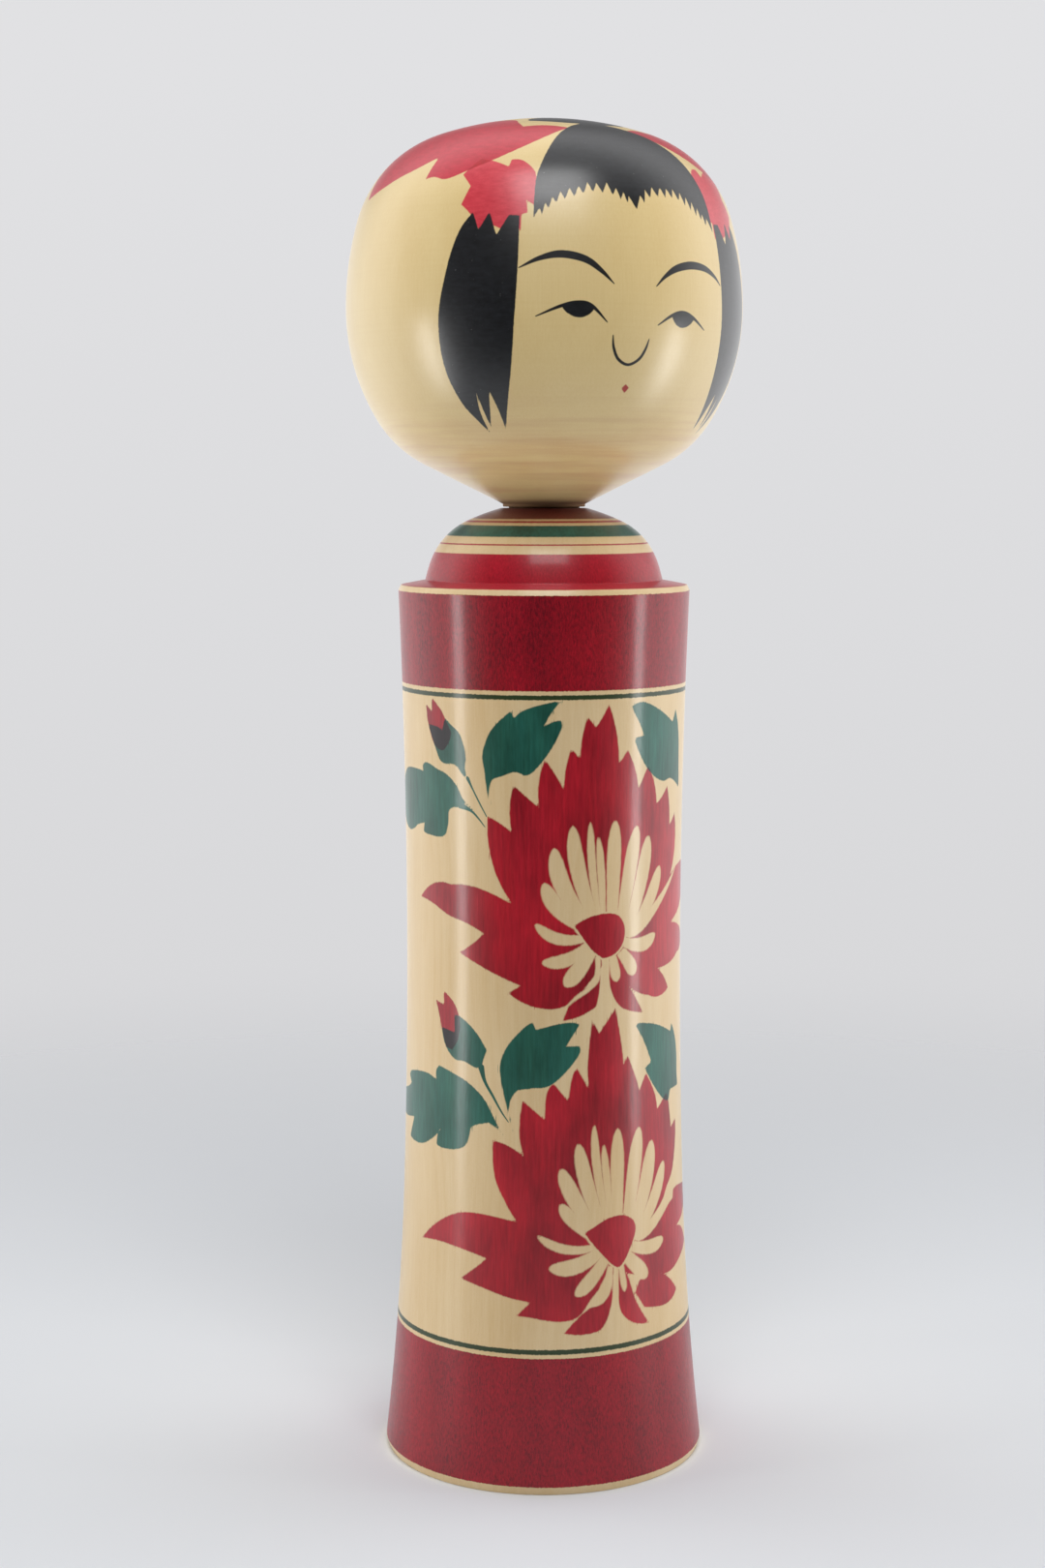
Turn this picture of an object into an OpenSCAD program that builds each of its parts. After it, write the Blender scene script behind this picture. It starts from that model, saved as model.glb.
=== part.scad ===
// Kokeshi doll, 303 mm tall, turned on a lathe in two pieces of plain wood.
// The head carries a neck stub that ends in a bulb. The bulb is sprung through
// the lip of a socket in the shoulder, so the head turns but doesn't come out.
// The doll stands on z = 0 with its axis on Z, and it faces -Y.

/* [Body] */
// Radius of the base where the painted side starts
foot_r = 36.8; // [36:0.1:38]
// Height of the bevel around the base
foot_bevel_h = 1.9; // [1:0.1:3]
// Width of the bevel around the base
foot_bevel_w = 0.6; // [0.3:0.1:1.5]
// Height at which the side starts to flare towards the foot
flare_h = 62; // [50:1:80]
// Radius of the waist, the slimmest place
waist_r = 31.4; // [30:0.1:32]
// Height of the waist
waist_h = 122; // [110:1:130]
// Radius of the side at the top rim
rim_r = 33; // [32.6:0.1:34]
// Height of the side at the top rim
rim_h = 199.1; // [195:0.1:200]
// Height of the bevel around the top rim
rim_bevel_h = 1.2; // [0.6:0.1:1.6]
// Width of the bevel around the top rim
rim_bevel_w = 0.6; // [0.3:0.1:1.5]

/* [Shoulder] */
// Height of the small flat on which the head turns
seat_h = 217.5; // [217:0.1:218]
// Radius of that flat
seat_r = 9.7; // [9.5:0.1:10.5]
// Slope of the dome where it leaves the flat, in degrees
dome_start = 15.6; // [14:0.1:18]
// Radius of the dome's upper curve
dome_top_r = 50; // [45:1:55]
// Radius of the dome's middle curve
dome_mid_r = 16; // [15:0.1:17]
// Radius of the dome's lower curve
dome_low_r = 40; // [35:1:45]

/* [Head] */
// Height of the crown above the ground
total_h = 303; // [303:0.1:304]
// Radius of the flat curve over the crown
crown_r = 77; // [74:0.5:78]
// Radius of the curve at the temples
temple_r = 27; // [26:0.1:27.5]
// Radius of the curve down the cheeks
cheek_r = 70; // [60:1:72]
// Radius of the curve of the jaw
jaw_r = 47.5; // [45:0.1:48]
// Radius of the curve under the chin
chin_r = 26.5; // [24:0.1:27]
// Radius of the head where it meets the shoulder
neck_r = 9.3; // [9.2:0.1:10]

/* [Neck joint] */
// Radius of the neck stub inside the lip
stub_r = 8; // [7:0.1:8.4]
// Running clearance around the stub
stub_gap = 0.08; // [0.04:0.01:0.1]
// Gap between the head and the shoulder flat
seat_gap = 0.3; // [0.3:0.1:0.5]
// Depth of the lip that holds the bulb
lip_depth = 6.5; // [5:0.5:9]
// Radius of the bulb at the end of the stub
bulb_r = 8.6; // [8.3:0.1:9]
// Length of the bulb
bulb_len = 8; // [6:0.5:10]
// Radius of the hollow behind the lip
socket_r = 9.6; // [9.3:0.1:10.5]
// Depth of the socket below the flat
socket_depth = 20; // [20:0.5:25]

/* [Hidden] */
$fn = 180;

wood_body = [0.86, 0.72, 0.52];
wood_head = [0.90, 0.80, 0.63];

// Largest angle between neighbouring points of a curve
curve_step = 3;
// Fewest straight pieces in a curve
curve_pieces = 12;

// Slope, in degrees, at which each curve of an outline gives way to the next
crown_end = 18.3;
temple_end = 74;
cheek_end = 90;
jaw_end = 121;
chin_end = 153.5;
dome_top_end = 25;
dome_mid_end = 71;
dome_low_end = 77;

// Clear height between the bulb's shoulder and the lip, and below the bulb
bulb_play = 0.4;
// Height of the slope at the top of the bulb
barb_h = 0.9;
// Length and width of the taper that led the bulb through the lip
taper_h = 3;
taper_w = 2;
// Slope inside the socket, behind the lip
relief_h = 1.6;
// Corner cut at the socket's floor
floor_cut = 2;

// A curve is [radius, slope at its end]. Slopes are measured downwards from
// level, so 90 runs straight down. A negative radius gives a hollow curve.
function arc_x(r, from, to) = r * (sin(to) - sin(from));
function arc_z(r, from, to) = r * (cos(to) - cos(from));

// Points along one curve, without its first point
function arc_points(start, slope, r, end) =
    let (n = max(curve_pieces, ceil(abs(end - slope) / curve_step)))
    [for (i = [1:n])
        let (a = slope + (end - slope) * i / n)
        start + [arc_x(r, slope, a), arc_z(r, slope, a)]];

// Where a curve ends
function arc_end(start, slope, r, end) =
    start + [arc_x(r, slope, end), arc_z(r, slope, end)];

// Points along several curves, each leaving along the slope of the one before
function chain(start, slope, curves, i = 0) =
    i == len(curves) ? [] :
    let (r = curves[i][0], end = curves[i][1])
    concat(arc_points(start, slope, r, end),
           chain(arc_end(start, slope, r, end), end, curves, i + 1));

// Radius of the curve that leaves a point along a slope and meets another point
function meeting_r(start, slope, target) =
    let (d = target - start)
    (d * d) / (2 * (d * [cos(slope + 90), -sin(slope + 90)]));

// Slope at which that curve meets the target
function meeting_slope(start, slope, target) =
    let (d = target - start)
    2 * atan2(-d[1], d[0]) - slope;

// Side of the body, hollow from the rim past the waist down to the foot
side_rise = rim_h - waist_h;
side_swell = rim_r - waist_r;
side_r = (side_rise * side_rise + side_swell * side_swell) / (2 * side_swell);
rim_slope = 90 + asin(side_rise / side_r);
flare_slope = 90 - asin((waist_h - flare_h) / side_r);
flare_start = arc_end([waist_r, waist_h], 90, -side_r, flare_slope);
foot_top = [foot_r, foot_bevel_h];
flare_r = meeting_r(flare_start, flare_slope, foot_top);
foot_slope = meeting_slope(flare_start, flare_slope, foot_top);

dome = [[dome_top_r, dome_top_end], [dome_mid_r, dome_mid_end], [dome_low_r, dome_low_end]];
face = [[crown_r, crown_end], [temple_r, temple_end], [cheek_r, cheek_end],
        [jaw_r, jaw_end], [chin_r, chin_end]];

lip_r = stub_r + stub_gap;
lip_h = seat_h - lip_depth;
floor_h = seat_h - socket_depth;
head_h = seat_h + seat_gap;
barb_top_h = lip_h - bulb_play;
bulb_h = barb_top_h - bulb_len;

// Outline of the body, up the outside and down into the socket
function body_outline() = concat(
    [[0, 0], [foot_r - foot_bevel_w, 0]],
    reverse(side_outline()),
    [[rim_r - rim_bevel_w, rim_h + rim_bevel_h]],
    reverse(chain([seat_r, seat_h], dome_start, dome)),
    [[seat_r, seat_h], [lip_r, seat_h], [lip_r, lip_h],
     [socket_r, lip_h - relief_h], [socket_r, floor_h + floor_cut],
     [socket_r - floor_cut, floor_h], [0, floor_h]]);

function side_outline() = concat(
    [[rim_r, rim_h]],
    chain([rim_r, rim_h], rim_slope,
          [[-side_r, flare_slope], [flare_r, foot_slope]]));

// Outline of the head, from the crown down the outside to the end of the bulb
function head_outline() =
    let (curves = chain([0, total_h], 0, face),
         chin = curves[len(curves) - 1],
         neck_drop = (chin[0] - neck_r) * tan(180 - chin_end))
    concat(
        [[0, total_h]],
        curves,
        [[neck_r, chin[1] - neck_drop], [neck_r, head_h], [stub_r, head_h],
         [stub_r, barb_top_h], [bulb_r, barb_top_h - barb_h],
         [bulb_r, bulb_h + taper_h], [bulb_r - taper_w, bulb_h], [0, bulb_h]]);

function reverse(list) = [for (i = [len(list) - 1:-1:0]) list[i]];

// Body and stepped shoulder, one turned piece with the socket inside
module body() {
    color(wood_body)
        rotate_extrude()
            polygon(body_outline());
}

// Head with its neck stub and bulb, one turned piece
module head() {
    color(wood_head)
        rotate_extrude()
            polygon(head_outline());
}

body();
head();
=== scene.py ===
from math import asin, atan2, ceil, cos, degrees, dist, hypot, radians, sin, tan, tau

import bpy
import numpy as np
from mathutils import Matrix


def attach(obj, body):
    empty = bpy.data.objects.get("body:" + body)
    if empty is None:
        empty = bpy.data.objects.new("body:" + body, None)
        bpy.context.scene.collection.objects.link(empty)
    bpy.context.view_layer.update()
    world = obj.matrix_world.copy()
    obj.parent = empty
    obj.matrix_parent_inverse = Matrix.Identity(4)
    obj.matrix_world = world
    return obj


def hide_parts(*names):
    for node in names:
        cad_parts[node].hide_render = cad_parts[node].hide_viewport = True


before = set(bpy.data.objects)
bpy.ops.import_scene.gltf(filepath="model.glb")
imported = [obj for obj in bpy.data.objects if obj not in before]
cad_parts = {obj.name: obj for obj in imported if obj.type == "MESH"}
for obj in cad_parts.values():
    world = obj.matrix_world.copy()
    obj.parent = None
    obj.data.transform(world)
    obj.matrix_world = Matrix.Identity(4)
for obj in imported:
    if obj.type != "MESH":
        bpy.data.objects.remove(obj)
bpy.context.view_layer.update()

# A kokeshi doll, turned from pale wood in two pieces and painted with dye and ink.
# The doll faces -Y. Lengths in this script are millimetres until MM makes metres
# of them, and the outlines repeat the curves of the CAD part.

SCENE = bpy.context.scene
MM = 0.001

# Outline of the body, as in the CAD part
FOOT_R = 36.8
FOOT_BEVEL = (0.6, 1.9)
FLARE_H = 62
WAIST_R = 31.4
WAIST_H = 122
RIM_R = 33
RIM_H = 199.1
RIM_BEVEL = (0.6, 1.2)
SEAT_R = 9.7
SEAT_H = 217.5
DOME_START = 15.6
DOME = [(50, 25), (16, 71), (40, 77)]

# Outline of the head, as in the CAD part
TOTAL_H = 303
FACE = [(77, 18.3), (27, 74), (70, 90), (47.5, 121), (26.5, 153.5)]
NECK_R = 9.3

# Neck joint, as in the CAD part
STUB_R = 8
STUB_GAP = 0.08
SEAT_GAP = 0.3
LIP_DEPTH = 6.5
BULB_R = 8.6
BULB_LEN = 8
BULB_PLAY = 0.4
BARB_H = 0.9
TAPER = (2, 3)
SOCKET_R = 9.6
SOCKET_DEPTH = 20
RELIEF_H = 1.6
FLOOR_CUT = 2

# Radius of the softened edges that sanding leaves, and the most that it takes of a side
EDGE_R = 0.22
EDGE_SHARE = 0.4
# Turn at a point of a turned outline above which it is an edge, in degrees
EDGE_TURN = 10
# Rows of a mesh skip up to this many columns at a time, and those this close to the axis are on it
MOST_SKIPPED = 16
ON_AXIS = 1e-6

# Lowest and highest height of each painted ring on the body. The dark one runs in under the neck, its red
# darkened as painted shade from the head above.
RED_RINGS = [(1.9, 30.45), (178.5, 199.1), (200.3, 207.7), (209.55, 209.85), (214.4, 214.8)]
SHADED_TOP_RINGS = [(215.2, 219)]
GREEN_RINGS = [(31.35, 32.45), (176.6, 177.6), (211.4, 213.8)]
# Heights between which the flowers are painted
PANEL = (32.8, 176.4)

# A place on the body's panel is (u, z): u runs round the body to the doll's left
# from its front at the rate of BODY_GIRTH mm per radian, and z is the height.
BODY_GIRTH = 32
# A place on the head is (u, v): v runs down from the crown along the surface.
HEAD_GIRTH = 44


# ---- turned shapes

def arc(start, slope, radius, end, spacing=0.5):
    """Points along an arc after its start. Slopes are degrees below level; a negative radius is hollow."""
    length = abs(radians(end - slope) * radius)
    count = max(4, ceil(length / spacing))
    angles = np.radians(np.linspace(slope, end, count + 1)[1:])
    first = radians(slope)
    x = start[0] + radius * (np.sin(angles) - sin(first))
    z = start[1] + radius * (np.cos(angles) - cos(first))
    return list(zip(x, z))


def chain(start, slope, curves, spacing=0.5):
    """Points along several arcs, each leaving along the slope of the one before."""
    points = []
    for radius, end in curves:
        points += arc(start, slope, radius, end, spacing)
        start, slope = points[-1], end
    return points


def straight(start, end, spacing):
    """Points along a straight line after its start."""
    count = max(1, ceil(dist(start, end) / spacing))
    return [tuple(np.add(start, np.subtract(end, start) * i / count)) for i in range(1, count + 1)]


def body_side(spacing):
    """The painted side, from the rim past the waist to the foot."""
    rise = RIM_H - WAIST_H
    swell = RIM_R - WAIST_R
    radius = (rise * rise + swell * swell) / (2 * swell)
    rim_slope = 90 + degrees(asin(rise / radius))
    flare_slope = 90 - degrees(asin((WAIST_H - FLARE_H) / radius))
    flare = arc((RIM_R, RIM_H), rim_slope, -radius, flare_slope, spacing)
    run, drop = np.subtract((FOOT_R, FOOT_BEVEL[1]), flare[-1])
    turn = radians(flare_slope + 90)
    foot_radius = (run * run + drop * drop) / (2 * (run * cos(turn) - drop * sin(turn)))
    foot_slope = 2 * degrees(atan2(-drop, run)) - flare_slope
    return [(RIM_R, RIM_H)] + flare + arc(flare[-1], flare_slope, foot_radius, foot_slope, spacing)


def body_outline(spacing):
    """The body's outline from the middle of its base, up the outside and down into the socket."""
    points = [(0, 0)] + straight((0, 0), (FOOT_R - FOOT_BEVEL[0], 0), spacing=4)
    points += body_side(spacing)[::-1]
    rim_top = (RIM_R - RIM_BEVEL[0], RIM_H + RIM_BEVEL[1])
    dome = ([(SEAT_R, SEAT_H)] + chain((SEAT_R, SEAT_H), DOME_START, DOME, spacing))[::-1]
    points += [rim_top] + straight(rim_top, dome[0], spacing=1.5) + dome[1:]
    lip_r = STUB_R + STUB_GAP
    lip_h = SEAT_H - LIP_DEPTH
    floor_h = SEAT_H - SOCKET_DEPTH
    points += [(lip_r, SEAT_H), (lip_r, lip_h), (SOCKET_R, lip_h - RELIEF_H)]
    points += [(SOCKET_R, floor_h + FLOOR_CUT), (SOCKET_R - FLOOR_CUT, floor_h), (0, floor_h)]
    return points


def head_outline(spacing):
    """The head's outline from the crown, down the outside to the end of the bulb."""
    skin = chain((0, TOTAL_H), 0, FACE, spacing)
    chin_r, chin_h = skin[-1]
    neck_h = chin_h - (chin_r - NECK_R) * tan(radians(180 - FACE[-1][1]))
    barb_top = SEAT_H - LIP_DEPTH - BULB_PLAY
    bulb_h = barb_top - BULB_LEN
    points = [(0, TOTAL_H)] + skin + straight(skin[-1], (NECK_R, neck_h), spacing)
    points += [(NECK_R, SEAT_H + SEAT_GAP), (STUB_R, SEAT_H + SEAT_GAP), (STUB_R, barb_top)]
    points += [(BULB_R, barb_top - BARB_H), (BULB_R, bulb_h + TAPER[1])]
    points += [(BULB_R - TAPER[0], bulb_h), (0, bulb_h)]
    return points


def soften(points):
    """The outline with each edge rounded over, as sandpaper leaves it."""
    points = np.array(points, float)
    result = [points[0]]
    for before, here, after in zip(points[:-2], points[1:-1], points[2:]):
        into, out = here - before, after - here
        size_in, size_out = np.hypot(*into), np.hypot(*out)
        cross = into[0] * out[1] - into[1] * out[0]
        turn = atan2(abs(cross), into @ out)
        if degrees(turn) < EDGE_TURN:
            result.append(here)
            continue
        cut = min(EDGE_R * tan(turn / 2), EDGE_SHARE * size_in, EDGE_SHARE * size_out)
        first, last = here - into / size_in * cut, here + out / size_out * cut
        for t in (0, 0.33, 0.67, 1):
            result.append((1 - t) ** 2 * first + 2 * t * (1 - t) * here + t * t * last)
    result.append(points[-1])
    return np.array(result)


def column_angles(girth, painted, fine, coarse):
    """Angles round the axis from the front, close together where |u| < painted.

    Their number divides by MOST_SKIPPED."""
    half = painted / girth
    fine_count = 2 * ceil(painted / fine)
    coarse_count = ceil((tau - 2 * half) * girth / coarse)
    coarse_count += -(fine_count + coarse_count) % MOST_SKIPPED
    front = np.linspace(-half, half, fine_count, endpoint=False)
    back = np.linspace(half, tau - half, coarse_count, endpoint=False)
    return np.concatenate([front, back])


def row_steps(outline, wanted, columns):
    """For each row, how many columns it skips at a time, so that its faces are near their wanted size."""
    steps = []
    for (radius, _), size in zip(outline, wanted):
        step = 1
        while step < MOST_SKIPPED and tau * radius / columns * step * 2 < size:
            step *= 2
        steps.append(step)
    for order in (range(1, len(steps)), range(len(steps) - 2, -1, -1)):
        for i in order:
            neighbour = steps[i - 1] if order.step > 0 else steps[i + 1]
            steps[i] = min(steps[i], 2 * neighbour)
    return steps


def revolve(outline, angles, steps):
    """Vertices and faces of the outline turned round Z. A row on the axis is one vertex."""
    columns = len(angles)
    # The end rows follow their neighbours, as on the axis any step will do
    steps = [steps[1], *steps[1:-1], steps[-2]]
    rows, verts, faces = [], [], []
    for (radius, height), step in zip(outline, steps):
        if radius < ON_AXIS:
            rows.append([len(verts)] * (columns + 1))
            verts.append((0, 0, height))
            continue
        ring = {}
        for j in range(0, columns, step):
            ring[j] = len(verts)
            verts.append((radius * sin(angles[j]), -radius * cos(angles[j]), height))
        rows.append([ring.get(j % columns) for j in range(columns + 1)])
    for i in range(len(rows) - 1):
        lower, upper = rows[i], rows[i + 1]
        fine, wide = sorted(steps[i:i + 2])
        for j in range(0, columns, wide):
            k, mid = j + wide, j + fine
            if fine == wide:
                # On the axis two of the corners are one
                faces.append(tuple(dict.fromkeys((lower[j], lower[k], upper[k], upper[j]))))
            elif steps[i] < steps[i + 1]:
                faces += [(lower[j], lower[mid], upper[j]), (lower[mid], upper[k], upper[j]),
                          (lower[mid], lower[k], upper[k])]
            else:
                faces += [(lower[j], upper[mid], upper[j]), (lower[j], lower[k], upper[mid]),
                          (lower[k], upper[k], upper[mid])]
    return verts, faces


# ---- painted outlines

# Turn at a point of a painted outline, in degrees, above which the brush left a corner
CORNER_TURN = 42
# How far the fields go inside and outside an outline, and past the edge of a thin line
FIELD_DEPTH = 4.0
LINE_REACH = 0.75
# Half width of a bare petal, as a share of its greatest, at shares of its length
PETAL_PROFILE = [(-0.1, 0.8), (0.15, 0.86), (0.4, 0.96), (0.62, 1.0), (0.8, 0.88), (0.92, 0.6), (0.98, 0.28)]


def brush_outline(points, pieces=5):
    """A closed outline through the points, smooth except at sharp turns.

    A third number on a point bows the side that follows it outward by that much."""
    places = np.array([p[:2] for p in points], float)
    bows = [p[2] if len(p) > 2 else 0 for p in points]
    ahead = np.roll(places, -1, 0) - places
    behind = np.roll(ahead, 1, 0)
    turn = np.abs(np.arctan2(behind[:, 0] * ahead[:, 1] - behind[:, 1] * ahead[:, 0],
                             (behind * ahead).sum(1)))
    corner = np.degrees(turn) > CORNER_TURN
    flow = (np.roll(places, -1, 0) - np.roll(places, 1, 0)) / 2
    area = (places[:, 0] * np.roll(places[:, 1], -1) - np.roll(places[:, 0], -1) * places[:, 1]).sum()
    outward = 1 if area > 0 else -1
    count = len(places)
    result = []
    for i in range(count):
        j = (i + 1) % count
        chord = places[j] - places[i]
        size = np.hypot(*chord)
        leave = chord if corner[i] else flow[i] / np.hypot(*flow[i]) * size
        arrive = chord if corner[j] else flow[j] / np.hypot(*flow[j]) * size
        if corner[i] and not corner[j]:
            leave = 1.5 * chord - 0.5 * arrive
        if corner[j] and not corner[i]:
            arrive = 1.5 * chord - 0.5 * leave
        side = np.array([chord[1], -chord[0]]) / size * outward
        for t in np.arange(pieces) / pieces:
            spot = places[i] * (2 * t**3 - 3 * t**2 + 1) + leave * (t**3 - 2 * t**2 + t)
            spot = spot + places[j] * (3 * t**2 - 2 * t**3) + arrive * (t**3 - t**2)
            result.append(spot + side * 4 * bows[i] * t * (1 - t))
    return np.array(result)


def petal(u0, z0, u1, z1, half, bow=0):
    """A brush-stroke petal, widest towards its rounded tip. It bows to the left of its way."""
    base, tip = np.array((u0, z0), float), np.array((u1, z1), float)
    along = tip - base
    across = np.array([-along[1], along[0]]) / np.hypot(*along)
    edges = []
    for side in (1, -1):
        edges.append([base + along * t + across * (side * w * half + 4 * bow * t * (1 - t))
                      for t, w in PETAL_PROFILE])
    return [tuple(p) for p in edges[0] + [tip] + edges[1][::-1]]


def inside_depth(spots, outline):
    """Distance of each spot from a closed outline, positive inside, out to FIELD_DEPTH."""
    result = np.full(len(spots), -FIELD_DEPTH)
    low = outline.min(0) - FIELD_DEPTH
    high = outline.max(0) + FIELD_DEPTH
    near = np.where(((spots > low) & (spots < high)).all(1))[0]
    if len(near) == 0:
        return result
    x, y = spots[near].T
    gap = np.full(len(near), FIELD_DEPTH**2)
    inside = np.zeros(len(near), bool)
    for (ax, ay), (bx, by) in zip(outline, np.roll(outline, -1, 0)):
        dx, dy = bx - ax, by - ay
        t = np.clip(((x - ax) * dx + (y - ay) * dy) / max(dx * dx + dy * dy, 1e-12), 0, 1)
        gap = np.minimum(gap, (x - ax - t * dx) ** 2 + (y - ay - t * dy) ** 2)
        if dy != 0:
            inside ^= ((ay > y) != (by > y)) & (x < dx * (y - ay) / dy + ax)
    depth = np.sqrt(gap)
    result[near] = np.where(inside, depth, -depth)
    return result


def painted(spots, outlines):
    """Depth inside the nearest of several outlines."""
    result = np.full(len(spots), -FIELD_DEPTH)
    for points in outlines:
        result = np.maximum(result, inside_depth(spots, brush_outline(points)))
    return result


def drawn_lines(spots, lines, name="line"):
    """Two fields: sideways distance from the nearest thin line, and the line's half width there.

    A line is a list of (x, y, half width). Past its ends the half width falls below nothing."""
    offset = np.full(len(spots), FIELD_DEPTH)
    half = np.full(len(spots), -FIELD_DEPTH)
    best = np.full(len(spots), np.inf)
    x, y = spots.T
    for line in lines:
        fine = smooth_line(np.array(line, float))
        for (ax, ay, aw), (bx, by, bw) in zip(fine[:-1], fine[1:]):
            dx, dy = bx - ax, by - ay
            size = hypot(dx, dy)
            t = ((x - ax) * dx + (y - ay) * dy) / size**2
            s = np.clip(t, 0, 1)
            past = np.abs(t - s) * size
            side = ((x - ax) * dy - (y - ay) * dx) / size
            gap = np.hypot(x - ax - s * dx, y - ay - s * dy)
            closer = gap < best
            best = np.where(closer, gap, best)
            offset = np.where(closer, side, offset)
            half = np.where(closer, aw + s * (bw - aw) - past, half)
    half[best > half + LINE_REACH] = -FIELD_DEPTH
    return {name + "_offset": np.clip(offset, -FIELD_DEPTH, FIELD_DEPTH), name + "_half": half}


def smooth_line(knots, pieces=6):
    """An open curve through the knots."""
    padded = np.vstack([2 * knots[0] - knots[1], knots, 2 * knots[-1] - knots[-2]])
    result = []
    for a, b, c, d in zip(padded[:-3], padded[1:-2], padded[2:-1], padded[3:]):
        for t in np.arange(pieces) / pieces:
            result.append(0.5 * (2 * b + (c - a) * t + (2 * a - 5 * b + 4 * c - d) * t**2
                                 + (3 * b - a - 3 * c + d) * t**3))
    result.append(knots[-1])
    return np.array(result)


def mirrored(points):
    """The same shape on the other side of the doll's middle."""
    return [(-p[0], *p[1:]) for p in points]


# ---- paint on the body

UPPER_FLOWER = [
    # left side, going up: one long petal and five upright ones
    (-48.5, 131.2, 0.9), (-37, 135.2, 0.7), (-21.6, 131.8, 1.9), (-27.3, 151, 0.3), (-21.6, 147.6, 0.7),
    (-21.2, 158), (-15.6, 153.2, 0.7), (-14.3, 163.8, 0.2), (-10, 156.8, 0.5), (-8.5, 166, 0.1),
    (-6.5, 163.5, 0.4), (-4.9, 173), (-3, 170.5, -0.2),
    # the tallest petal, and down the right side
    (0.1, 175.6, 0.6), (2.9, 162.6, -0.2), (5, 165.4, 0.6), (8.4, 156.4), (11.3, 161.3, 0.8),
    (14.6, 152.6, -0.3), (19, 156.2, 0.5), (20.6, 147.2, -0.2), (23.6, 149.8, 1.8), (21.5, 135.8),
    (27, 137.6, 0.6), (40, 136, 0.8), (33, 129.5), (22, 125), (28, 123.5, 0.4), (34, 119.5, 0.6),
    (27, 117.4, 0.5), (15.7, 115.4, 0.5), (20.6, 110.2, 0.8), (12, 109.9), (6.7, 112.2), (3, 117),
    # underneath, back to the long petal
    (0, 119), (-4, 114.5), (-8.5, 110), (-12, 108.7), (-16, 109), (-19.5, 110.2), (-22.5, 112.1),
    (-19.7, 113.8), (-26, 116.3), (-34.8, 120.2, -0.3), (-28.3, 125), (-33, 127), (-38, 128.2),
    (-43, 130.2)]
UPPER_SMALL_PETALS = [
    [(-10.2, 106), (-6, 107), (-2.5, 108.8), (-1.8, 111.5), (-1.2, 118.8), (-1.9, 115.5), (-4, 113.5),
     (-7.5, 111.5)],
    [(0.8, 115), (0.9, 119.2), (3, 117.8), (5, 114.5), (8.5, 109.2), (10.5, 106.1), (6, 107.2),
     (3.5, 108.5), (1.5, 111.5)]]
UPPER_HEART = [
    (-7.6, 127.1), (-5.6, 128.2), (-3, 129.1), (0, 129.4), (2.6, 129), (4.2, 127.6), (4.9, 125.3),
    (4.5, 122.8), (3.1, 120.9), (1.2, 119.8), (-0.8, 119.5), (-3.2, 121.2), (-5.4, 123.9)]
# Petals left bare round the heart: base, tip, half width and bow. Neighbours are in separate lists.
UPPER_BARE_EVEN = [
    (-4.7, 122.2, -14.9, 118.9, 1.5, 1.1), (-7.1, 127.6, -14.7, 136.5, 1.85, 1),
    (-3.3, 129, -8.1, 149.1, 1.8, 1), (-0.9, 129, -2.1, 146.6, 0.95, -0.2), (4.2, 128.6, 8.2, 148.3, 1.9),
    (8.7, 126.6, 16.3, 138.5, 1.8, -0.7), (5.3, 122.4, 14.7, 123.2, 1.65, -1.2),
    (1.7, 119.3, 2.8, 114, 1.3)]
UPPER_BARE_ODD = [
    (-4, 120.9, -9.8, 113.7, 1.9, 0.3), (-5.6, 124.2, -16.5, 127.5, 1.3, 1.6),
    (-5.6, 128.9, -12.3, 144.3, 1.95, 1.5), (-1.9, 129, -4, 149.8, 0.95, 0.5), (1.5, 129, 2.1, 149.9, 1.8),
    (6.7, 127.8, 11.9, 145.8, 1.95, -0.6), (4.2, 120.3, 7.8, 115.1, 1.65, 0.2)]
UPPER_COMMA = [
    (-1.4, 119.7), (-1.45, 116.6), (-1.9, 114.3), (-4.2, 112.3), (-7.2, 110.5), (-10.2, 108.3),
    (-7.2, 111.6), (-4.9, 113), (-3.3, 114.7), (-2.7, 117), (-2.8, 120.6)]
UPPER_GAPS = [
    [(-1.2, 119.8), (-1.15, 116), (-1.6, 112), (-1.9, 108), (-0.6, 105.3), (1.4, 109), (0.6, 113),
     (0.65, 116), (0.9, 119.8)],
    [(4.9, 127), (9, 127.2), (12.9, 129.6), (15.4, 131.2), (18.3, 133.1), (21.7, 135.4), (26, 138.2),
     (21.7, 134.2), (19.2, 132), (16.7, 129.8), (14.2, 127.7), (11.7, 125.7), (9.2, 124.2), (6.4, 123.4),
     (4.7, 124)]]

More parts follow.
